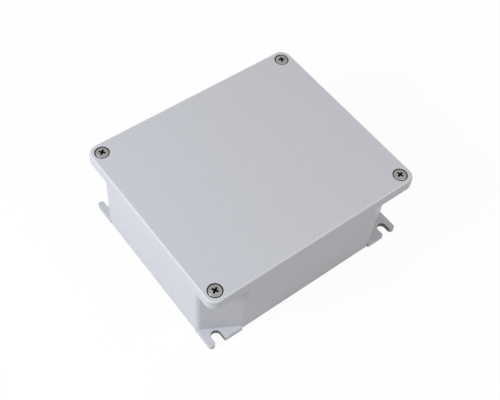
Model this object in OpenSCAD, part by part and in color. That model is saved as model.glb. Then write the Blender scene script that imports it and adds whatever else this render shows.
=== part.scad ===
// Die cast aluminium box with a screwed lid and four slotted mounting feet.
// Millimetres, +Z up, origin at the centre of the base, +X along the longer side.

/* [Overall] */
// Length of the lid and of the rim under it, along X
box_l = 166; // [150:1:200]
// Width of the lid and of the rim under it, along Y
box_w = 142; // [130:1:180]
// Height from the base to the flat top of the lid
box_h = 64; // [54:0.5:90]
// Radius of the corners of the lid and rim, seen from above
corner_r = 7.4; // [6.5:0.1:9]

/* [Body casting] */
// How far the walls stand in under the rim
wall_in = 2.2; // [1.8:0.1:2.6]
// Thickness of the straight walls at the rim
wall_t = 3.4; // [3:0.1:4]
// Thickness of the floor
floor_t = 3.2; // [3:0.1:5]
// How far the two end walls lean inwards on the outside, from rim to base
end_draft = 0.3; // [0.2:0.1:0.8]
// How far the front and rear walls lean inwards on the outside, from rim to base
side_draft = 1; // [0.5:0.1:1.4]
// How far the walls lean inwards on the inside, from rim to floor
inner_draft = 1.2; // [0.8:0.1:2]
// Length along X of the piece cut off each corner below the rim
cut_l = 33; // [30:0.5:35]
// Length along Y of the piece cut off each corner below the rim
cut_w = 19; // [17:0.5:20]
// How far the cut corners lean outwards from the rim to the base
cut_lean = 1; // [0.5:0.1:1.5]
// Radius of the upright edges beside the cut corners
upright_r = 4.4; // [3:0.1:5]
// Depth of the rim that overhangs the walls and the cut corners
rim_h = 3.8; // [3:0.1:5]
// Chamfer round the edge of the base
base_chamfer = 0.3; // [0.2:0.1:1]
// Fillet, made as a chamfer, between the floor and the inside of the walls
floor_fillet = 1.8; // [0.5:0.1:3]

/* [Mounting feet] */
// Thickness of the feet
foot_t = 4; // [3:0.1:6]
// How far the feet stand in from the outline of the lid
foot_in = 2.1; // [1.5:0.1:2.4]
// Length of a foot along X, from its outer side
foot_l = 25.5; // [22:0.5:32]
// Length of a foot along Y, from its outer side
foot_w = 17.5; // [16.5:0.5:24]
// Width of the open slot in a foot
slot_w = 7; // [6:0.1:7.4]
// Distance along X from the end of the lid to the middle of a slot
slot_in_l = 10.25; // [9.5:0.05:10.75]
// Distance along Y from the side of the lid to the fixing screw at the closed end of a slot
slot_in_w = 7.5; // [6:0.25:8.5]
// Radius of the tips of the outer prongs
prong_r = 2.3; // [1:0.1:2.5]
// Radius of the inner corner beside a slot
slot_corner_r = 1; // [0.5:0.1:2]

/* [Lid] */
// Height of the side of the lid
lid_h = 4; // [3.8:0.1:5]
// Radius of the top edge of the lid
lid_edge_r = 1.4; // [0.6:0.1:1.8]
// Depth of the hollow under the middle of the lid
lid_hollow = 1.2; // [0.5:0.1:1.5]
// Width of the lid's flat border inside the rim of the body
lid_border = 1.5; // [1:0.1:3]

/* [Seal] */
// Distance from the outline to the middle of the tongue and groove
seal_in = 2.6; // [2.4:0.1:2.9]
// Width of the groove in the lid
groove_w = 2; // [1.8:0.1:2.2]
// Depth of the groove in the lid
groove_d = 2.2; // [2:0.1:2.4]
// Thickness of the gasket as it lies compressed in the groove
gasket_t = 1.1; // [0.8:0.1:1.3]
// Gap between each side of the gasket and the groove
gasket_gap = 0.1; // [0.05:0.05:0.2]
// Width of the tongue on the body
tongue_w = 1.2; // [1:0.1:1.4]

/* [Lid screws] */
// Distance from the two outer sides to the axis of a lid screw
screw_in = 8.1; // [7.8:0.1:8.4]
// Diameter of the thread of a lid screw
screw_d = 5; // [4:0.5:5]
// Length of the shank of a lid screw under its head
screw_l = 10; // [8:0.5:10.5]
// Diameter of the head of a lid screw
head_d = 8.8; // [8.4:0.1:9.4]
// Height of the head of a lid screw
head_h = 2.6; // [2.4:0.1:3.2]
// Height of the upright rim of the head, below the dome
head_rim_h = 2; // [1.6:0.1:2.2]
// Depth of the cross recess
recess_d = 2.2; // [1.5:0.1:2.4]
// Width across the wings of the cross recess
recess_span = 4.4; // [4:0.1:5]
// Width of one wing of the cross recess
recess_w = 1.1; // [0.8:0.1:1.3]
// Depth of the seat of the screw head in the lid
seat_d = 2.2; // [1.8:0.1:2.5]
// Gap all round the head in its seat
seat_gap = 0.7; // [0.5:0.05:0.8]
// Gap all round the shank in the hole of the lid
shank_gap = 0.3; // [0.2:0.05:0.4]
// Gap all round the shank in the tapped hole of the body
thread_gap = 0.05; // [0.03:0.01:0.1]
// Width of the boss under the rim that holds the end of a lid screw
screw_boss_d = 9; // [8.4:0.1:9.6]
// Depth of the boss below the rim
screw_boss_h = 4.4; // [4:0.1:5]
// How much narrower the boss is at its lower end
screw_boss_taper = 1; // [0.6:0.1:1.4]
// Distance that the boss reaches back into the corner wall
screw_boss_reach = 9; // [8:0.5:10]

/* [Captive rings] */
// Outer diameter of the ring that keeps a screw in the lid
ring_d = 8; // [7.6:0.1:8.2]
// Thickness of the ring
ring_t = 0.8; // [0.6:0.1:0.9]
// Gap all round the ring in its pocket in the top of the rim
ring_gap = 0.3; // [0.2:0.05:0.4]
// Room above and below the ring in its pocket
ring_room = 0.2; // [0.1:0.05:0.25]

/* [Inside] */
// Distance along X between the pillars for a mounting plate
pillar_spacing_l = 124; // [110:1:128]
// Distance along Y between the pillars for a mounting plate
pillar_spacing_w = 92; // [80:1:96]
// Height of the pillars above the floor
pillar_h = 7; // [5:0.5:12]
// Diameter of a pillar at its top
pillar_d = 8; // [7:0.1:9]
// How much wider a pillar is at its foot
pillar_taper = 0.6; // [0.3:0.1:1]
// Diameter of the tapped hole in a pillar
pillar_hole_d = 3.3; // [2.5:0.1:4.2]
// Depth of the tapped hole in a pillar
pillar_hole_depth = 7.5; // [5:0.5:8]

/* [Earth terminal] */
// Distance along X from the left end of the lid to the earth terminal
earth_in = 21; // [19:0.5:33]
// Diameter of the earth boss on the floor
earth_boss_d = 12; // [11:0.5:14]
// Height of the earth boss above the floor
earth_boss_h = 5; // [4:0.5:8]
// Diameter of the thread of the earth screw
earth_screw_d = 5; // [4:0.5:5]
// Length of the shank of the earth screw under its head
earth_screw_l = 9; // [8.5:0.5:10]
// Length of a side of the square clamp plate
clamp_side = 11; // [10:0.5:12]
// Thickness of the clamp plate
clamp_t = 1.5; // [1:0.1:2]
// Room under the end of the earth screw in its tapped hole
earth_hole_room = 0.3; // [0.2:0.05:0.4]
// Diameter of the spring washer
spring_d = 8.6; // [8:0.1:9]
// Thickness of the spring washer
spring_t = 1.2; // [1:0.1:1.6]
// Gap between the two ends of the spring washer
spring_split = 0.8; // [0.5:0.1:1]

/* [Hidden] */
$fn = 64;

// Levels, from the base upwards
body_h = box_h - lid_h;
rim_z = body_h - rim_h;
groove_z = body_h + groove_d;
seat_z = box_h - seat_d;
ring_pocket_h = ring_t + 2 * ring_room;
pillar_top = floor_t + pillar_h;
earth_top = floor_t + earth_boss_h;
earth_screw_z = earth_top + clamp_t + spring_t;
// Width of the top of the rim, outside the hollow
rim_in = wall_in + wall_t;
// Place of the earth terminal
earth_x = earth_in - box_l / 2;
// Unit normal of the rear right cut corner, and its distance from the middle of the box
cut_normal = [cut_w, cut_l] / norm([cut_w, cut_l]);
cut_reach = cut_normal * [box_l / 2, box_w / 2 - cut_w];
// Places of the lid screws
screw_x = box_l / 2 - screw_in;
screw_y = box_w / 2 - screw_in;
// Slot of a foot, at the front left corner
slot_r = slot_w / 2;
slot_x = slot_in_l - box_l / 2;
slot_y = slot_in_w - box_w / 2;
// Largest share of a prong's width that the radius of its tip takes
tip_share = 0.49;
// Segments of each rounded corner in an outline, and degrees of each segment of the lid's edge
arc_steps = 8;
edge_turn = 15;
// Facets of the lid's corners and of the domes of the screws
lid_facets = 48;
dome_facets = 96;
// Overlap that makes a cut pass cleanly through a face
cut = 0.5;
casting_grey = [0.77, 0.78, 0.80];
steel_grey = [0.62, 0.62, 0.62];
rubber_black = [0.12, 0.12, 0.12];
nylon_white = [0.85, 0.85, 0.80];
brass_yellow = [0.80, 0.72, 0.45];

// Unit vector along v
function unit(v) = v / norm(v);

// Arc of radius r that replaces the vertex v between its neighbours a and b, counterclockwise
function corner_arc(a, v, b, r, steps) =
  let (
    u = unit(a - v),
    w = unit(b - v),
    half = acos(u * w) / 2,
    centre = v + unit(u + w) * r / sin(half),
    start = v + u * r / tan(half) - centre,
    from = atan2(start.y, start.x)
  )
  [
    for (i = [0:steps])
      let (turn = from + (180 - 2 * half) * i / steps)
        centre + r * [cos(turn), sin(turn)]
  ];

// Convex counterclockwise outline with each vertex rounded
function rounded(points, r, steps = arc_steps) =
  let (n = len(points))
  [for (i = [0:n - 1]) each corner_arc(points[(i + n - 1) % n], points[i], points[(i + 1) % n], r, steps)];

// Rectangle centred on the origin, standing in by inset from the outline of the lid
function full_outline(inset, r) =
  let (x = box_l / 2 - inset, y = box_w / 2 - inset)
  rounded([[x, -y], [x, y], [-x, y], [-x, -y]], r);

// Rectangle with cut corners, standing in by in_l at its ends, in_w at its sides and in_cut at the cuts
function cut_outline(in_l, in_w, in_cut, r) =
  let (
    x = box_l / 2 - in_l,
    y = box_w / 2 - in_w,
    reach = cut_reach - in_cut,
    y_cut = (reach - cut_normal.x * x) / cut_normal.y,
    x_cut = (reach - cut_normal.y * y) / cut_normal.x
  )
  rounded(
    [[x, -y_cut], [x, y_cut], [x_cut, y], [-x_cut, y], [-x, y_cut], [-x, -y_cut], [-x_cut, -y], [x_cut, -y]],
    r
  );

// Outline with the same inset all round, for the hollow and for the seal
function inner_outline(inset, r) = cut_outline(inset, inset, inset, r);

// Solid through a stack of outlines with the same number of points, each as [z, points]
module loft(rings) {
  n = len(rings[0][1]);
  last = len(rings) - 1;
  polyhedron(
    points = [for (ring = rings) for (p = ring[1]) [p.x, p.y, ring[0]]],
    faces = [
      [for (i = [0:n - 1]) i],
      for (k = [0:last - 1]) for (i = [0:n - 1])
        [k * n + i, (k + 1) * n + i, (k + 1) * n + (i + 1) % n, k * n + (i + 1) % n],
      [for (i = [n - 1:-1:0]) last * n + i]
    ],
    convexity = 4
  );
}

// Ring between two inner outlines, centred at the distance middle from the lid's outline
module seal_ring(middle, width, height) {
  linear_extrude(height)
    difference() {
      polygon(inner_outline(middle - width / 2, upright_r));
      polygon(inner_outline(middle + width / 2, upright_r));
    }
}

// Repeats its children, made for the front left corner, at all four corners
module each_corner() {
  for (mx = [0, 1], my = [0, 1])
    mirror([mx, 0, 0]) mirror([0, my, 0]) children();
}

// Outside of the walls: a leaning shell with cut corners, under an overhanging rim
module outer_form() {
  end_in = wall_in + end_draft;
  side_in = wall_in + side_draft;
  loft([
    [0, cut_outline(end_in + base_chamfer, side_in + base_chamfer, base_chamfer, upright_r)],
    [base_chamfer, cut_outline(end_in, side_in, 0, upright_r)],
    [rim_z + cut, cut_outline(wall_in, wall_in, cut_lean, upright_r)]
  ]);
  translate([0, 0, rim_z]) linear_extrude(rim_h) polygon(full_outline(0, corner_r));
}

// Hollow of the body, wider at the rim so that the core of the mould can leave it
module inner_form() {
  floor_in = rim_in + inner_draft;
  loft([
    [floor_t, inner_outline(floor_in + floor_fillet, upright_r)],
    [floor_t + floor_fillet, inner_outline(floor_in, upright_r)],
    [body_h + cut, inner_outline(rim_in, upright_r)]
  ]);
}

// Foot at the front left corner, with a slot that is open to the front
module foot() {
  x0 = -box_l / 2 + foot_in;
  y0 = -box_w / 2 + foot_in;
  prong_w = slot_x - slot_r - x0;
  tip_r = min(prong_r, tip_share * prong_w);
  linear_extrude(foot_t)
    difference() {
      polygon([
        each corner_arc([x0, 0], [x0, y0], [0, y0], tip_r, arc_steps),
        each corner_arc([x0, y0], [x0 + prong_w, y0], [x0 + prong_w, 0], tip_r, arc_steps),
        [x0 + prong_w, slot_y],
        [slot_x + slot_r, slot_y],
        each corner_arc([slot_x + slot_r, 0], [slot_x + slot_r, y0], [0, y0], slot_corner_r, arc_steps),
        [x0 + foot_l, y0],
        [x0 + foot_l, y0 + foot_w],
        [x0, y0 + foot_w]
      ]);
      translate([slot_x, slot_y]) circle(slot_r);
    }
}

// Boss under the rim at the front left corner, stretched back into the corner wall
module screw_boss() {
  hull()
    for (back = [0, screw_boss_reach])
      translate([back * cut_normal.x - screw_x, back * cut_normal.y - screw_y, rim_z - screw_boss_h])
        cylinder(d1 = screw_boss_d - screw_boss_taper, d2 = screw_boss_d, h = screw_boss_h + cut);
}

// Pillar for a mounting plate, with a slight taper
module pillar() {
  translate([0, 0, floor_t - cut]) cylinder(d1 = pillar_d + pillar_taper, d2 = pillar_d, h = pillar_h + cut);
}

module body() {
  color(casting_grey)
    difference() {
      union() {
        difference() {
          union() {
            outer_form();
            each_corner() foot();
            each_corner() screw_boss();
          }
          inner_form();
        }
        translate([0, 0, body_h - cut]) seal_ring(seal_in, tongue_w, groove_d - gasket_t + cut);
        each_corner() translate([-pillar_spacing_l / 2, -pillar_spacing_w / 2, 0]) pillar();
        translate([earth_x, 0, floor_t - cut]) cylinder(d = earth_boss_d, h = earth_boss_h + cut);
      }
      // Tapped holes for the lid screws, right through the rim and its bosses, and pockets for the rings
      each_corner() translate([-screw_x, -screw_y, 0]) {
        translate([0, 0, rim_z - screw_boss_h - cut]) cylinder(d = screw_d + 2 * thread_gap, h = box_h);
        translate([0, 0, body_h - ring_pocket_h]) cylinder(d = ring_d + 2 * ring_gap, h = ring_pocket_h + cut);
      }
      // Tapped holes of the pillars
      each_corner()
        translate([-pillar_spacing_l / 2, -pillar_spacing_w / 2, pillar_top - pillar_hole_depth])
          cylinder(d = pillar_hole_d, h = pillar_hole_depth + cut);
      // Tapped hole of the earth terminal
      translate([earth_x, 0, earth_screw_z - earth_screw_l - earth_hole_room])
        cylinder(d = earth_screw_d + 2 * thread_gap, h = box_h);
    }
}

// Upright cylinder at a corner of the lid, with its top edge rounded
module lid_corner() {
  rotate_extrude()
    polygon([
      [0, 0],
      [corner_r, 0],
      for (turn = [0:edge_turn:90])
        [corner_r - lid_edge_r + lid_edge_r * cos(turn), lid_h - lid_edge_r + lid_edge_r * sin(turn)],
      [0, lid_h]
    ]);
}

module lid() {
  color(casting_grey)
    difference() {
      translate([0, 0, body_h])
        hull()
          each_corner()
            translate([-box_l / 2 + corner_r, -box_w / 2 + corner_r, 0]) lid_corner($fn = lid_facets);
      // Groove for the gasket
      translate([0, 0, body_h - cut]) seal_ring(seal_in, groove_w, groove_d + cut);
      // Shallow hollow under the middle
      translate([0, 0, body_h - cut])
        linear_extrude(lid_hollow + cut) polygon(inner_outline(rim_in + lid_border, upright_r));
      each_corner() translate([-screw_x, -screw_y, 0]) {
        translate([0, 0, body_h - cut]) cylinder(d = screw_d + 2 * shank_gap, h = lid_h + 2 * cut);
        translate([0, 0, seat_z]) cylinder(d = head_d + 2 * seat_gap, h = seat_d + cut);
      }
    }
}

module lid_gasket() {
  color(rubber_black)
    translate([0, 0, groove_z - gasket_t]) seal_ring(seal_in, groove_w - 2 * gasket_gap, gasket_t);
}

// Pan head screw standing on z = 0 under its head, with a cross recess
module pan_screw(d, length) {
  head_r = head_d / 2;
  dome_h = head_h - head_rim_h;
  // Radius of the sphere that gives the dome its height over the head
  dome_r = (pow(head_r, 2) + pow(dome_h, 2)) / (2 * dome_h);
  difference() {
    union() {
      intersection() {
        cylinder(r = head_r, h = head_h);
        translate([0, 0, head_h - dome_r]) sphere(dome_r, $fn = dome_facets);
      }
      translate([0, 0, -length]) cylinder(d = d, h = length + cut);
    }
    translate([0, 0, head_h - recess_d])
      for (turn = [0, 90])
        rotate([0, 0, turn])
          translate([-recess_span / 2, -recess_w / 2, 0]) cube([recess_span, recess_w, recess_d + cut]);
  }
}

// Lid screw at a corner, where sx and sy are -1 or 1
module lid_screw(sx, sy) {
  color(steel_grey) translate([sx * screw_x, sy * screw_y, seat_z]) pan_screw(screw_d, screw_l);
}

// Ring on the shank of a lid screw, under the lid
module captive_ring(sx, sy) {
  color(nylon_white)
    translate([sx * screw_x, sy * screw_y, body_h - ring_room - ring_t])
      difference() {
        cylinder(d = ring_d, h = ring_t);
        translate([0, 0, -cut]) cylinder(d = screw_d + 2 * thread_gap, h = ring_t + 2 * cut);
      }
}

module lid_screw_front_left() { lid_screw(-1, -1); }
module lid_screw_front_right() { lid_screw(1, -1); }
module lid_screw_rear_left() { lid_screw(-1, 1); }
module lid_screw_rear_right() { lid_screw(1, 1); }

module captive_ring_front_left() { captive_ring(-1, -1); }
module captive_ring_front_right() { captive_ring(1, -1); }
module captive_ring_rear_left() { captive_ring(-1, 1); }
module captive_ring_rear_right() { captive_ring(1, 1); }

module earth_clamp_plate() {
  color(brass_yellow)
    translate([earth_x, 0, earth_top])
      difference() {
        translate([-clamp_side / 2, -clamp_side / 2, 0]) cube([clamp_side, clamp_side, clamp_t]);
        translate([0, 0, -cut]) cylinder(d = earth_screw_d + 2 * shank_gap, h = clamp_t + 2 * cut);
      }
}

// Spring washer, split where its two ends meet
module earth_spring_washer() {
  color(steel_grey)
    translate([earth_x, 0, earth_top + clamp_t])
      difference() {
        cylinder(d = spring_d, h = spring_t);
        translate([0, 0, -cut]) cylinder(d = earth_screw_d + 2 * shank_gap, h = spring_t + 2 * cut);
        translate([0, -spring_split / 2, -cut]) cube([spring_d, spring_split, spring_t + 2 * cut]);
      }
}

module earth_screw() {
  color(steel_grey)
    translate([earth_x, 0, earth_screw_z]) pan_screw(earth_screw_d, earth_screw_l);
}

body();
lid();
lid_gasket();
lid_screw_front_left();
lid_screw_front_right();
lid_screw_rear_left();
lid_screw_rear_right();
captive_ring_front_left();
captive_ring_front_right();
captive_ring_rear_left();
captive_ring_rear_right();
earth_screw();
earth_spring_washer();
earth_clamp_plate();
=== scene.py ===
"""Die cast aluminium box: cast body and lid in powder coat, steel screws, on a white sweep."""
import math

import bpy
from mathutils import Matrix, Vector


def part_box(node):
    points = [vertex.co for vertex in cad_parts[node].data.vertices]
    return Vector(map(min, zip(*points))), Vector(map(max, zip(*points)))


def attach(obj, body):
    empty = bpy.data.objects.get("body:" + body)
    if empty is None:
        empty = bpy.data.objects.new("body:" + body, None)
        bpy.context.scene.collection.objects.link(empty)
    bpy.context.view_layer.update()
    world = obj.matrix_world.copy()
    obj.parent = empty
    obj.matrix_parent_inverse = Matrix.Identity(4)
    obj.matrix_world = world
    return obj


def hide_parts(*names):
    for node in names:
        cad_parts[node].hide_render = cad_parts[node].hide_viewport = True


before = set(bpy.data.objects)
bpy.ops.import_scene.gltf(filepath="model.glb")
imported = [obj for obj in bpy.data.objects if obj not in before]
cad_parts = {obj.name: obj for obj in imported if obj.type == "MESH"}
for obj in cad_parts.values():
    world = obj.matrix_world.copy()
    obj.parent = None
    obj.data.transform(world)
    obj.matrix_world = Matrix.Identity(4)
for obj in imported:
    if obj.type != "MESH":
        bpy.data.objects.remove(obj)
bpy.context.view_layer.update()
MM = 0.001

# Camera of the photograph, from its fitted place and view, for an image of 500 x 400
CAMERA_AZIMUTH = -41.8
CAMERA_ELEVATION = 54.6
CAMERA_ROLL = 5.67
CAMERA_DISTANCE = 604.2 * MM
CAMERA_TARGET = Vector((2.36, 0.68, 20.0)) * MM
CAMERA_LENS = 62.4
SENSOR_WIDTH = 36.0
CAMERA_CLIP_START = 10 * MM
CAMERA_CLIP_END = 20000 * MM

# Lamps, surround and floor of the studio
LAMP_TARGET = Vector((0, 0, 30.0)) * MM
LAMP_DISTANCE = 940 * MM
WORLD_STRENGTH = 0.485
WHITE = "#FFFFFF"
FLOOR_SIZE = 6000 * MM
FLOOR_Z = -0.02 * MM
FLOOR_COLOUR = "#CACACA"
FLOOR_WHITE_SHARE = 0.94

# Head of the lid screws and the earth screw, M5 and low domed
HEAD_D = 8.8 * MM
HEAD_R = HEAD_D / 2
HEAD_H = 2.6 * MM
HEAD_RIM_H = 2.0 * MM
HEAD_EDGE_R = 0.3 * MM
# Degrees of the rim's rounding, before it runs straight into the dome
RIM_ARC = 50
RIM_ARC_STEPS = 4
DOME_STEPS = 12
TURN_STEPS = 64
# Shallow ring that the heading die presses round the recess, in steps of the dome from its middle
DIE_RING_STEP = 8
DIE_RING_DEPTH = 0.14 * MM

# Shank and thread of the screws
SHANK_D = 5.0 * MM
LID_SCREW_L = 10 * MM
EARTH_SCREW_L = 9 * MM
TIP_CHAMFER = 0.4 * MM
THREAD_PITCH = 0.8 * MM
THREAD_DEPTH = 0.43 * MM
CORE_R = SHANK_D / 2 - THREAD_DEPTH
# Half the width of the ridge at its root, and how deep the root lies in the core
THREAD_ROOT_HALF_W = 0.45 * THREAD_PITCH
THREAD_ROOT_SINK = 0.05 * MM
# Where the ridge starts above the tip, and how much of the shank has no ridge in all
THREAD_START = 0.6 * MM
THREAD_FREE_L = 1.6 * MM
THREAD_STEPS = 32

# Cross recess of the screws
RECESS_SPAN = 5.0 * MM
RECESS_WING_W = 1.5 * MM
RECESS_DEPTH = 2.8 * MM
# Size of the cross at its bottom, as a share of its size at the mouth
RECESS_NARROWING = 0.4
RECESS_CENTRE_D = 1.6 * MM
RECESS_CENTRE_TIP_D = 0.8 * RECESS_CENTRE_D
RECESS_CENTRE_STEPS = 24
# How far the cutter stands above the head, and a margin for finding the faces that it leaves
CUTTER_OVER = 0.1 * MM
RECESS_MARGIN = 0.06 * MM

# Soft edges that the mould leaves, and the height below the lid's top in which a lighter coat paints a
# highlight on its edge
CAST_EDGE_R = 0.55 * MM
LID_EDGE_R = 0.3 * MM
EDGE_STEPS = 3
EDGE_HIGHLIGHT_H = 0.8 * MM

# Slots of the feet and seats of the screws, where painted shade darkens the walls
SLOT_X = 72.75 * MM
SLOT_Y = 63.5 * MM
SLOT_W = 7.0 * MM
# Half the width with a small margin, for finding the walls of a slot
SLOT_REACH = 0.52 * SLOT_W
SLOT_MOUTH_Y = 68.7 * MM
FOOT_H = 4.0 * MM
SEAT_GAP = 0.7 * MM

# Z of the normals of faces on the domes, on upright walls, and on the lid's top edge
DOME_LEAST_Z = 0.8
WALL_MOST_Z = 0.5
TOP_EDGE_LEAST_Z = 0.8
TOP_EDGE_MOST_Z = 0.998

# Points closer than this are one, and angles between faces in degrees: flat, shaded smooth, and rounded
MERGE_DISTANCE = 0.002 * MM
FLAT_ANGLE = 0.5
SMOOTH_ANGLE = 35
ROUNDED_ANGLE = 40

# Sockets of the Mix node that take and give colours, which share their names with those of other types
MIX_COLOUR_A = 6
MIX_COLOUR_B = 7
MIX_COLOUR_OUT = 2

CORNERS = ("front_left", "front_right", "rear_left", "rear_right")

# How far each screw was turned when its head came to rest, in degrees
SCREW_TURN = {
    "lid_screw_front_left": 28,
    "lid_screw_front_right": 12,
    "lid_screw_rear_left": 40,
    "lid_screw_rear_right": 65,
    "earth_screw": 20,
}


def linear(hex_colour):
    """An sRGB hex colour as linear RGBA."""
    parts = [int(hex_colour[i:i + 2], 16) / 255 for i in (1, 3, 5)]
    return [c / 12.92 if c <= 0.04045 else ((c + 0.055) / 1.055) ** 2.4 for c in parts] + [1.0]


def add_node(tree, kind, settings=None, inputs=None):
    """Adds a node, sets its properties, and sets or links its inputs."""
    node = tree.nodes.new(kind)
    for name, value in (settings or {}).items():
        setattr(node, name, value)
    for name, value in (inputs or {}).items():
        if isinstance(value, bpy.types.NodeSocket):
            tree.links.new(value, node.inputs[name])
        else:
            node.inputs[name].default_value = value
    return node


def new_material(name):
    """An empty node material and its tree, with the output node."""
    material = bpy.data.materials.new(name)
    material.use_nodes = True
    tree = material.node_tree
    tree.nodes.clear()
    return material, tree, add_node(tree, "ShaderNodeOutputMaterial")


def mixed_colour(tree, factor, low_hex, high_hex):
    """The colour between two hex colours that the factor picks."""
    mix = add_node(tree, "ShaderNodeMix", {"data_type": "RGBA"})
    tree.links.new(factor, mix.inputs["Factor"])
    mix.inputs[MIX_COLOUR_A].default_value = linear(low_hex)
    mix.inputs[MIX_COLOUR_B].default_value = linear(high_hex)
    return mix.outputs[MIX_COLOUR_OUT]


def powder_coat(name, dark_hex, light_hex):
    """Powder coat baked on a die cast: a matt grey, with a sand grain that breaks up highlights."""
    material, tree, output = new_material(name)
    place = add_node(tree, "ShaderNodeTexCoord").outputs["Object"]
    # The sand grain is really about 0.3 mm across, and is drawn coarser so that it shows
    grain_mm, flow_mm, flow_share = 0.9, 6.0, 0.35
    grain = add_node(tree, "ShaderNodeTexNoise", {}, {
        "Vector": place, "Scale": 1 / (grain_mm * MM), "Detail": 3.0, "Roughness": 0.6})
    flow = add_node(tree, "ShaderNodeTexNoise", {}, {
        "Vector": place, "Scale": 1 / (flow_mm * MM), "Detail": 2.0, "Roughness": 0.5})
    speckle = add_node(tree, "ShaderNodeMapRange", {}, {
        "Value": grain.outputs["Fac"], "From Min": 0.3, "From Max": 0.7})
    tone = mixed_colour(tree, speckle.outputs["Result"], dark_hex, light_hex)
    uneven = add_node(tree, "ShaderNodeMath", {"operation": "MULTIPLY_ADD"}, {
        0: flow.outputs["Fac"], 1: flow_share, 2: grain.outputs["Fac"]})
    bump = add_node(tree, "ShaderNodeBump", {}, {
        "Strength": 0.35, "Distance": 0.06 * MM, "Height": uneven.outputs[0]})
    coat = add_node(tree, "ShaderNodeBsdfPrincipled", {}, {
        "Base Color": tone, "Roughness": 0.6, "IOR": 1.5, "Normal": bump.outputs["Normal"],
        "Coat Weight": 0.2, "Coat Roughness": 0.25})
    tree.links.new(coat.outputs["BSDF"], output.inputs["Surface"])
    return material


def painted_shade_aluminium():
    """Painted shade for slot walls and screw seats: a dull dark grey metal, with fine level streaks."""
    material, tree, output = new_material("painted_shade_aluminium")
    place = add_node(tree, "ShaderNodeTexCoord").outputs["Object"]
    streak_mm, stretch = 0.3, 12
    level = add_node(tree, "ShaderNodeMapping", {}, {
        "Vector": place, "Scale": (1 / stretch, 1 / stretch, 1.0)})
    streaks = add_node(tree, "ShaderNodeTexNoise", {}, {
        "Vector": level.outputs["Vector"], "Scale": 1 / (streak_mm * MM), "Detail": 2.0})
    # Darker greys that paint the shade
    tone = mixed_colour(tree, streaks.outputs["Fac"], "#5C5B5E", "#7A797C")
    bump = add_node(tree, "ShaderNodeBump", {}, {
        "Strength": 0.4, "Distance": 0.03 * MM, "Height": streaks.outputs["Fac"]})
    metal = add_node(tree, "ShaderNodeBsdfPrincipled", {}, {
        "Base Color": tone, "Metallic": 0.2, "Roughness": 0.6, "Normal": bump.outputs["Normal"]})
    tree.links.new(metal.outputs["BSDF"], output.inputs["Surface"])
    return material


def tumbled_stainless_steel():
    """Cold headed stainless steel, tumbled: grey, with a soft sheen and no clear reflections."""
    material, tree, output = new_material("tumbled_stainless_steel")
    place = add_node(tree, "ShaderNodeTexCoord").outputs["Object"]
    dent_mm = 0.8
    dents = add_node(tree, "ShaderNodeTexNoise", {}, {
        "Vector": place, "Scale": 1 / (dent_mm * MM), "Detail": 2.0})
    bump = add_node(tree, "ShaderNodeBump", {}, {
        "Strength": 0.25, "Distance": 0.03 * MM, "Height": dents.outputs["Fac"]})
    metal = add_node(tree, "ShaderNodeBsdfPrincipled", {}, {
        "Base Color": linear("#999796"), "Metallic": 1.0, "Roughness": 0.42,
        "Normal": bump.outputs["Normal"]})
    tree.links.new(metal.outputs["BSDF"], output.inputs["Surface"])
    return material


def painted_shade_steel():
    """Painted shade on steel: nearly black and dull, for the recess and round the side of the head."""
    material, tree, output = new_material("painted_shade_steel")
    place = add_node(tree, "ShaderNodeTexCoord").outputs["Object"]
    shade_mottle_mm = 0.5
    painted_shade = add_node(tree, "ShaderNodeTexNoise", {}, {
        "Vector": place, "Scale": 1 / (shade_mottle_mm * MM), "Detail": 2.0})
    tone = mixed_colour(tree, painted_shade.outputs["Fac"], "#050505", "#141312")
    surface = add_node(tree, "ShaderNodeBsdfPrincipled", {}, {
        "Base Color": tone, "Roughness": 0.8, "Specular IOR Level": 0.2})
    tree.links.new(surface.outputs["BSDF"], output.inputs["Surface"])
    return material


def moulded_sealing_rubber():
    """Moulded silicone rubber: matt black, with a faint grey bloom in patches."""
    material, tree, output = new_material("moulded_sealing_rubber")
    place = add_node(tree, "ShaderNodeTexCoord").outputs["Object"]
    bloom_mm, skin_mm = 4.0, 0.4
    bloom = add_node(tree, "ShaderNodeTexNoise", {}, {
        "Vector": place, "Scale": 1 / (bloom_mm * MM), "Detail": 3.0})
    skin = add_node(tree, "ShaderNodeTexNoise", {}, {
        "Vector": place, "Scale": 1 / (skin_mm * MM), "Detail": 2.0})
    tone = mixed_colour(tree, bloom.outputs["Fac"], "#161617", "#252527")
    bump = add_node(tree, "ShaderNodeBump", {}, {
        "Strength": 0.3, "Distance": 0.02 * MM, "Height": skin.outputs["Fac"]})
    rubber = add_node(tree, "ShaderNodeBsdfPrincipled", {}, {
        "Base Color": tone, "Roughness": 0.75, "Normal": bump.outputs["Normal"]})
    tree.links.new(rubber.outputs["BSDF"], output.inputs["Surface"])
    return material


def moulded_natural_nylon():
    """Natural nylon: milky and a little waxy, with light inside its edges."""
    material, tree, output = new_material("moulded_natural_nylon")
    place = add_node(tree, "ShaderNodeTexCoord").outputs["Object"]
    cloud_mm = 2.0
    cloud = add_node(tree, "ShaderNodeTexNoise", {}, {
        "Vector": place, "Scale": 1 / (cloud_mm * MM), "Detail": 2.0})
    tone = mixed_colour(tree, cloud.outputs["Fac"], "#DED9C8", "#ECE9DC")
    nylon = add_node(tree, "ShaderNodeBsdfPrincipled", {}, {
        "Base Color": tone, "Roughness": 0.4, "Subsurface Weight": 0.2, "Subsurface Scale": 0.5 * MM})
    tree.links.new(nylon.outputs["BSDF"], output.inputs["Surface"])
    return material


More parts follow.
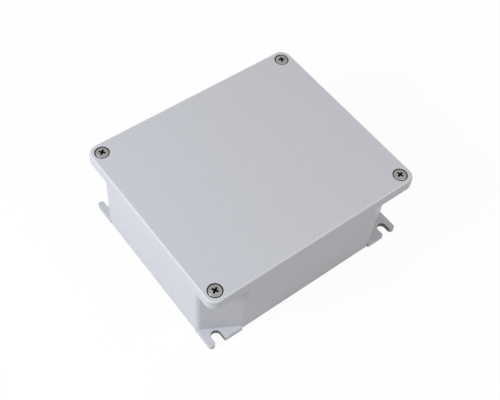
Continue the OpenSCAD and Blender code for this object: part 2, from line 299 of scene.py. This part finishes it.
def rolled_brass():
    """Brass stamped from rolled strip: fine lines run along the strip and draw out its reflections."""
    material, tree, output = new_material("rolled_brass")
    place = add_node(tree, "ShaderNodeTexCoord").outputs["Object"]
    line_mm, stretch = 0.15, 20
    along_strip = add_node(tree, "ShaderNodeMapping", {}, {
        "Vector": place, "Scale": (1 / stretch, 1.0, 1.0)})
    lines = add_node(tree, "ShaderNodeTexNoise", {}, {
        "Vector": along_strip.outputs["Vector"], "Scale": 1 / (line_mm * MM), "Detail": 2.0})
    tone = mixed_colour(tree, lines.outputs["Fac"], "#BE9C50", "#D2B368")
    bump = add_node(tree, "ShaderNodeBump", {}, {
        "Strength": 0.2, "Distance": 0.01 * MM, "Height": lines.outputs["Fac"]})
    brass = add_node(tree, "ShaderNodeBsdfPrincipled", {}, {
        "Base Color": tone, "Metallic": 1.0, "Roughness": 0.3, "Normal": bump.outputs["Normal"]})
    tree.links.new(brass.outputs["BSDF"], output.inputs["Surface"])
    return material


def select_only(obj):
    """Makes obj the one selected and active object."""
    bpy.ops.object.select_all(action="DESELECT")
    obj.select_set(True)
    bpy.context.view_layer.objects.active = obj


def set_material(obj, material):
    """Gives the whole piece one material."""
    obj.data.materials.clear()
    obj.data.materials.append(material)


def give_faces(obj, material, belongs):
    """Gives a further material to the faces that belong to it by their centre and normal."""
    obj.data.materials.append(material)
    for face in obj.data.polygons:
        if belongs(face.center, face.normal):
            face.material_index = len(obj.data.materials) - 1


def apply_modifier(obj, kind, **settings):
    """Adds a modifier with its settings and applies it at once."""
    select_only(obj)
    modifier = obj.modifiers.new(kind.title(), kind)
    for name, value in settings.items():
        setattr(modifier, name, value)
    bpy.ops.object.modifier_apply(modifier=modifier.name)


def close_and_face_outwards(obj):
    """Merges doubles and points every face outwards."""
    select_only(obj)
    bpy.ops.object.mode_set(mode="EDIT")
    bpy.ops.mesh.select_all(action="SELECT")
    bpy.ops.mesh.remove_doubles(threshold=MERGE_DISTANCE)
    bpy.ops.mesh.normals_make_consistent(inside=False)
    bpy.ops.object.mode_set(mode="OBJECT")


def finished(obj, node):
    """Shades the piece, applies its place, and lets it stand for its node."""
    select_only(obj)
    bpy.ops.object.transform_apply(location=True, rotation=True, scale=True)
    bpy.ops.object.shade_smooth_by_angle(angle=math.radians(SMOOTH_ANGLE))
    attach(obj, "root")
    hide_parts(node)
    return obj


def softened_casting(node, name, edge_r, material):
    """A copy of a cast node with every sharp edge rounded as the mould leaves it."""
    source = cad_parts[node]
    obj = bpy.data.objects.new(name, source.data.copy())
    bpy.context.scene.collection.objects.link(obj)
    select_only(obj)
    bpy.ops.object.mode_set(mode="EDIT")
    bpy.ops.mesh.select_all(action="SELECT")
    bpy.ops.mesh.remove_doubles(threshold=MERGE_DISTANCE)
    bpy.ops.mesh.dissolve_limited(angle_limit=math.radians(FLAT_ANGLE))
    bpy.ops.object.mode_set(mode="OBJECT")
    apply_modifier(obj, "BEVEL", width=edge_r, segments=EDGE_STEPS, limit_method="ANGLE",
                   angle_limit=math.radians(ROUNDED_ANGLE), use_clamp_overlap=True)
    set_material(obj, material)
    finished(obj, node)
    apply_modifier(obj, "WEIGHTED_NORMAL", keep_sharp=True)
    return obj


def turned(name, profile):
    """A solid of revolution about Z, from (radius, height) points that start and end on the axis."""
    bpy.ops.object.select_all(action="DESELECT")
    bpy.ops.mesh.primitive_plane_add(size=MM)
    obj = bpy.context.active_object
    obj.name = name
    bpy.ops.object.mode_set(mode="EDIT")
    bpy.ops.mesh.select_all(action="SELECT")
    bpy.ops.mesh.merge(type="CENTER")
    bpy.ops.transform.translate(value=(profile[0][0], 0, profile[0][1]))
    for (r0, z0), (r1, z1) in zip(profile, profile[1:]):
        bpy.ops.mesh.extrude_region_move(TRANSFORM_OT_translate={"value": (r1 - r0, 0, z1 - z0)})
    bpy.ops.mesh.select_all(action="SELECT")
    bpy.ops.mesh.spin(steps=TURN_STEPS, angle=2 * math.pi, center=(0, 0, 0), axis=(0, 0, 1))
    bpy.ops.object.mode_set(mode="OBJECT")
    close_and_face_outwards(obj)
    return obj


def rounded_rim():
    """Rounding of the head's rim, from its side up to where it leaves for the dome."""
    centre_r, centre_z = HEAD_R - HEAD_EDGE_R, HEAD_RIM_H - HEAD_EDGE_R
    turns = [math.radians(RIM_ARC * step / RIM_ARC_STEPS) for step in range(RIM_ARC_STEPS + 1)]
    return [(centre_r + HEAD_EDGE_R * math.cos(t), centre_z + HEAD_EDGE_R * math.sin(t)) for t in turns]


def domed_top():
    """Top of the head from its rounded edge to the axis, with the ring that the heading die leaves."""
    dome_h = HEAD_H - HEAD_RIM_H
    dome_r = (HEAD_R ** 2 + dome_h ** 2) / (2 * dome_h)
    edge_lean = math.asin((HEAD_R - HEAD_EDGE_R) / dome_r)
    points = []
    for step in range(DOME_STEPS, -1, -1):
        lean = edge_lean * step / DOME_STEPS
        pressed = DIE_RING_DEPTH if step == DIE_RING_STEP else 0
        points.append((dome_r * math.sin(lean), HEAD_H - dome_r * (1 - math.cos(lean)) - pressed))
    return points


def screw_profile(length):
    """Profile of the screw with the under side of its head on z = 0, from the tip up to the dome."""
    tip = [(0, -length), (CORE_R - TIP_CHAMFER, -length), (CORE_R, -length + TIP_CHAMFER)]
    side = [(CORE_R, 0), (HEAD_R - HEAD_EDGE_R, 0), (HEAD_R, HEAD_EDGE_R)]
    return tip + side + rounded_rim() + domed_top()


def recess_cutter():
    """Cross with tapered wings round a blunt cone, as the punch that forms the recess."""
    height = RECESS_DEPTH + CUTTER_OVER
    middle = (0, 0, (CUTTER_OVER - RECESS_DEPTH) / 2)
    wings = []
    for turn in (0, 90):
        bpy.ops.object.select_all(action="DESELECT")
        bpy.ops.mesh.primitive_cube_add(size=1, location=middle, rotation=(0, 0, math.radians(turn)))
        wing = bpy.context.active_object
        wing.scale = (RECESS_SPAN, RECESS_WING_W, height)
        bpy.ops.object.transform_apply(location=True, rotation=True, scale=True)
        bpy.ops.object.mode_set(mode="EDIT")
        bpy.ops.mesh.select_mode(type="VERT")
        bpy.ops.mesh.select_all(action="DESELECT")
        bpy.ops.object.mode_set(mode="OBJECT")
        for vertex in wing.data.vertices:
            vertex.select = vertex.co.z < 0
        bpy.ops.object.mode_set(mode="EDIT")
        bpy.ops.transform.resize(value=(RECESS_NARROWING, RECESS_NARROWING, 1))
        bpy.ops.object.mode_set(mode="OBJECT")
        wings.append(wing)
    bpy.ops.object.select_all(action="DESELECT")
    bpy.ops.mesh.primitive_cone_add(vertices=RECESS_CENTRE_STEPS, radius1=RECESS_CENTRE_TIP_D / 2,
                                    radius2=RECESS_CENTRE_D / 2, depth=height, location=middle)
    wings.append(bpy.context.active_object)
    return wings


def thread_ridge(length):
    """Ridge of the thread, wound round the core of the shank."""
    bpy.ops.object.select_all(action="DESELECT")
    bpy.ops.mesh.primitive_circle_add(vertices=3, radius=THREAD_PITCH / 2, fill_type="NOTHING")
    ridge = bpy.context.active_object
    root, crest = CORE_R - THREAD_ROOT_SINK, SHANK_D / 2
    low = -length + THREAD_START
    places = [(root, low - THREAD_ROOT_HALF_W), (crest, low), (root, low + THREAD_ROOT_HALF_W)]
    for vertex, (r, z) in zip(ridge.data.vertices, places):
        vertex.co = (r, 0, z)
    turns = int((length - THREAD_FREE_L) / THREAD_PITCH)
    apply_modifier(ridge, "SCREW", axis="Z", angle=2 * math.pi, screw_offset=THREAD_PITCH,
                   iterations=turns, steps=THREAD_STEPS, render_steps=THREAD_STEPS,
                   use_merge_vertices=True, merge_threshold=MERGE_DISTANCE)
    bpy.ops.object.mode_set(mode="EDIT")
    bpy.ops.mesh.select_all(action="SELECT")
    bpy.ops.mesh.fill_holes(sides=4)
    bpy.ops.object.mode_set(mode="OBJECT")
    close_and_face_outwards(ridge)
    return ridge


def in_painted_shade(centre, normal):
    """Whether a face of the screw gets painted shade: in the recess, or round the head below its dome.
    """
    r = math.hypot(centre.x, centre.y)
    on_dome = normal.z > DOME_LEAST_Z and centre.z > HEAD_RIM_H
    within_recess = r < RECESS_SPAN / 2 and centre.z > HEAD_H - RECESS_DEPTH - RECESS_MARGIN
    round_head = r > SHANK_D / 2 and -MERGE_DISTANCE < centre.z < HEAD_RIM_H
    return (within_recess and not on_dome) or round_head


def cross_recess_screw(name, length, steel, painted_shade):
    """A screw with a cross recess and a wound thread, the under side of its head on z = 0."""
    screw = turned(name, screw_profile(length))
    set_material(screw, steel)
    for cutter in recess_cutter():
        cutter.location.z = HEAD_H
        select_only(cutter)
        bpy.ops.object.transform_apply(location=True, rotation=True, scale=True)
        apply_modifier(screw, "BOOLEAN", operation="DIFFERENCE", object=cutter, solver="EXACT")
        bpy.data.objects.remove(cutter)
    # Nearly black painted shade in the recess and round the side of the head
    give_faces(screw, painted_shade, in_painted_shade)
    ridge = thread_ridge(length)
    set_material(ridge, steel)
    bpy.ops.object.select_all(action="DESELECT")
    ridge.select_set(True)
    screw.select_set(True)
    bpy.context.view_layer.objects.active = screw
    bpy.ops.object.join()
    return screw


def placed_screw(model, node, length):
    """A copy of the screw with its own mesh, turned and set on its seat in place of its node."""
    low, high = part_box(node)
    screw = model.copy()
    screw.data = model.data.copy()
    screw.name = node + "_detailed"
    bpy.context.scene.collection.objects.link(screw)
    screw.location = ((low.x + high.x) / 2, (low.y + high.y) / 2, low.z + length)
    screw.rotation_euler.z = math.radians(SCREW_TURN[node])
    return finished(screw, node)


def make_screws(steel):
    """All the screws, one model for each length of shank."""
    # Painted shade for the recesses and the sides of the heads
    painted_shade = painted_shade_steel()
    lid_model = cross_recess_screw("lid_screw_model", LID_SCREW_L, steel, painted_shade)
    for corner in CORNERS:
        placed_screw(lid_model, "lid_screw_" + corner, LID_SCREW_L)
    earth_model = cross_recess_screw("earth_screw_model", EARTH_SCREW_L, steel, painted_shade)
    placed_screw(earth_model, "earth_screw", EARTH_SCREW_L)
    bpy.data.objects.remove(lid_model)
    bpy.data.objects.remove(earth_model)


def seen_by_eye(tree):
    """1 for rays that show the studio, straight, mirrored or through glass, and 0 for lighting rays."""
    rays = add_node(tree, "ShaderNodeLightPath")
    straight_or_mirrored = add_node(tree, "ShaderNodeMath", {"operation": "MAXIMUM"}, {
        0: rays.outputs["Is Camera Ray"], 1: rays.outputs["Is Glossy Ray"]})
    seen = add_node(tree, "ShaderNodeMath", {"operation": "MAXIMUM"}, {
        0: straight_or_mirrored.outputs[0], 1: rays.outputs["Is Transmission Ray"]})
    return seen.outputs[0]


def make_floor():
    """White sweep: it lights the box as grey paper, and shows nearly white with a soft shadow."""
    bpy.ops.object.select_all(action="DESELECT")
    bpy.ops.mesh.primitive_plane_add(size=FLOOR_SIZE, location=(0, 0, FLOOR_Z))
    floor = bpy.context.active_object
    floor.name = "white_sweep"
    material, tree, output = new_material("matt_white_paper")
    seen = seen_by_eye(tree)
    share = add_node(tree, "ShaderNodeMath", {"operation": "MULTIPLY"}, {0: seen, 1: FLOOR_WHITE_SHARE})
    tone = mixed_colour(tree, seen, FLOOR_COLOUR, WHITE)
    paper = add_node(tree, "ShaderNodeBsdfDiffuse", {}, {"Color": tone})
    white = add_node(tree, "ShaderNodeEmission", {}, {"Color": linear(WHITE), "Strength": 1.0})
    mixed = add_node(tree, "ShaderNodeMixShader", {}, {
        0: share.outputs[0], 1: paper.outputs[0], 2: white.outputs[0]})
    tree.links.new(mixed.outputs[0], output.inputs["Surface"])
    set_material(floor, material)


def direction(azimuth, elevation):
    """Unit vector towards these angles, in degrees, where azimuth 0 is the front of the box."""
    turn, rise = math.radians(azimuth), math.radians(elevation)
    return Vector((math.sin(turn) * math.cos(rise), -math.cos(turn) * math.cos(rise), math.sin(rise)))


def soft_box(name, azimuth, elevation, size, power, colour):
    """A square lamp that looks at the middle of the box from these angles."""
    lamp = bpy.data.lights.new(name, "AREA")
    lamp.shape = "SQUARE"
    lamp.size = size
    lamp.energy = power
    lamp.color = linear(colour)[:3]
    obj = bpy.data.objects.new(name, lamp)
    outward = direction(azimuth, elevation)
    obj.location = LAMP_TARGET + LAMP_DISTANCE * outward
    obj.rotation_euler = (-outward).to_track_quat("-Z", "Y").to_euler()
    bpy.context.scene.collection.objects.link(obj)


def make_lights():
    """A key light from the left, a weak fill from the front right, and an even white surround."""
    soft_box("key_soft_box", azimuth=-101, elevation=32, size=400 * MM, power=6.5, colour="#F2F7FF")
    soft_box("fill_soft_box", azimuth=38, elevation=48, size=200 * MM, power=1.1, colour="#FFFEFA")
    world = bpy.data.worlds.new("white_studio")
    bpy.context.scene.world = world
    world.use_nodes = True
    tree = world.node_tree
    tree.nodes.clear()
    white = linear(WHITE)
    lit = add_node(tree, "ShaderNodeBackground", {}, {"Color": white, "Strength": WORLD_STRENGTH})
    shown = add_node(tree, "ShaderNodeBackground", {}, {"Color": white, "Strength": 1.0})
    surround = add_node(tree, "ShaderNodeMixShader", {}, {
        0: seen_by_eye(tree), 1: lit.outputs[0], 2: shown.outputs[0]})
    output = add_node(tree, "ShaderNodeOutputWorld")
    tree.links.new(surround.outputs[0], output.inputs["Surface"])


def make_camera():
    """The camera at the photograph's place, with its small roll."""
    back = direction(CAMERA_AZIMUTH, CAMERA_ELEVATION)
    roll = math.radians(CAMERA_ROLL)
    level_right = Vector((0, 0, 1)).cross(back).normalized()
    level_up = back.cross(level_right)
    right = math.cos(roll) * level_right + math.sin(roll) * level_up
    up = math.cos(roll) * level_up - math.sin(roll) * level_right
    data = bpy.data.cameras.new("photo_camera")
    data.lens = CAMERA_LENS
    data.sensor_width = SENSOR_WIDTH
    data.clip_start = CAMERA_CLIP_START
    data.clip_end = CAMERA_CLIP_END
    camera = bpy.data.objects.new("photo_camera", data)
    place = CAMERA_TARGET + CAMERA_DISTANCE * back
    camera.matrix_world = Matrix.Translation(place) @ Matrix((right, up, back)).transposed().to_4x4()
    bpy.context.scene.collection.objects.link(camera)
    bpy.context.scene.camera = camera


def in_slot(centre, normal):
    """Whether a face of the body is the wall of a slot in a foot."""
    across = abs(abs(centre.x) - SLOT_X) < SLOT_REACH
    along = SLOT_Y - SLOT_REACH < abs(centre.y) < SLOT_MOUTH_Y
    return across and along and centre.z < FOOT_H and abs(normal.z) < WALL_MOST_Z


def make_castings():
    """Body and lid in their coat, with a painted highlight on the lid's top edge and painted shade on
    the walls of seats and slots.
    """
    coat = powder_coat("powder_coated_cast_aluminium", "#BDBDC2", "#CDCED2")
    # Lighter coat, a painted highlight for the lid's rounded top edge
    painted_highlight_coat = powder_coat("powder_coat_painted_edge_highlight", "#CDCED1", "#DCDDDF")
    painted_shade_metal = painted_shade_aluminium()
    lid_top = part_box("lid")[1].z
    screw_boxes = [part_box("lid_screw_" + corner) for corner in CORNERS]
    screw_axes = [((low.x + high.x) / 2, (low.y + high.y) / 2) for low, high in screw_boxes]

    def in_seat(centre, _normal):
        near = any(math.hypot(centre.x - x, centre.y - y) < HEAD_R + SEAT_GAP for x, y in screw_axes)
        return near and centre.z < lid_top - LID_EDGE_R

    def on_top_edge(centre, normal):
        return centre.z > lid_top - EDGE_HIGHLIGHT_H and TOP_EDGE_LEAST_Z < normal.z < TOP_EDGE_MOST_Z

    body = softened_casting("body", "body_casting", CAST_EDGE_R, coat)
    # Painted shade on the walls of the slots in the feet
    give_faces(body, painted_shade_metal, in_slot)
    lid = softened_casting("lid", "lid_casting", LID_EDGE_R, coat)
    # Painted highlight on the lid's rounded top edge
    give_faces(lid, painted_highlight_coat, on_top_edge)
    # Painted shade on the walls and floor of the screw seats
    give_faces(lid, painted_shade_metal, in_seat)


def make_box():
    """Every piece of the box in its own finish."""
    make_castings()
    steel = tumbled_stainless_steel()
    make_screws(steel)
    set_material(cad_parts["lid_gasket"], moulded_sealing_rubber())
    nylon = moulded_natural_nylon()
    for corner in CORNERS:
        set_material(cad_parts["captive_ring_" + corner], nylon)
    set_material(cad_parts["earth_spring_washer"], steel)
    set_material(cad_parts["earth_clamp_plate"], rolled_brass())


make_box()
make_floor()
make_lights()
make_camera()
bpy.context.scene.view_settings.view_transform = "Standard"
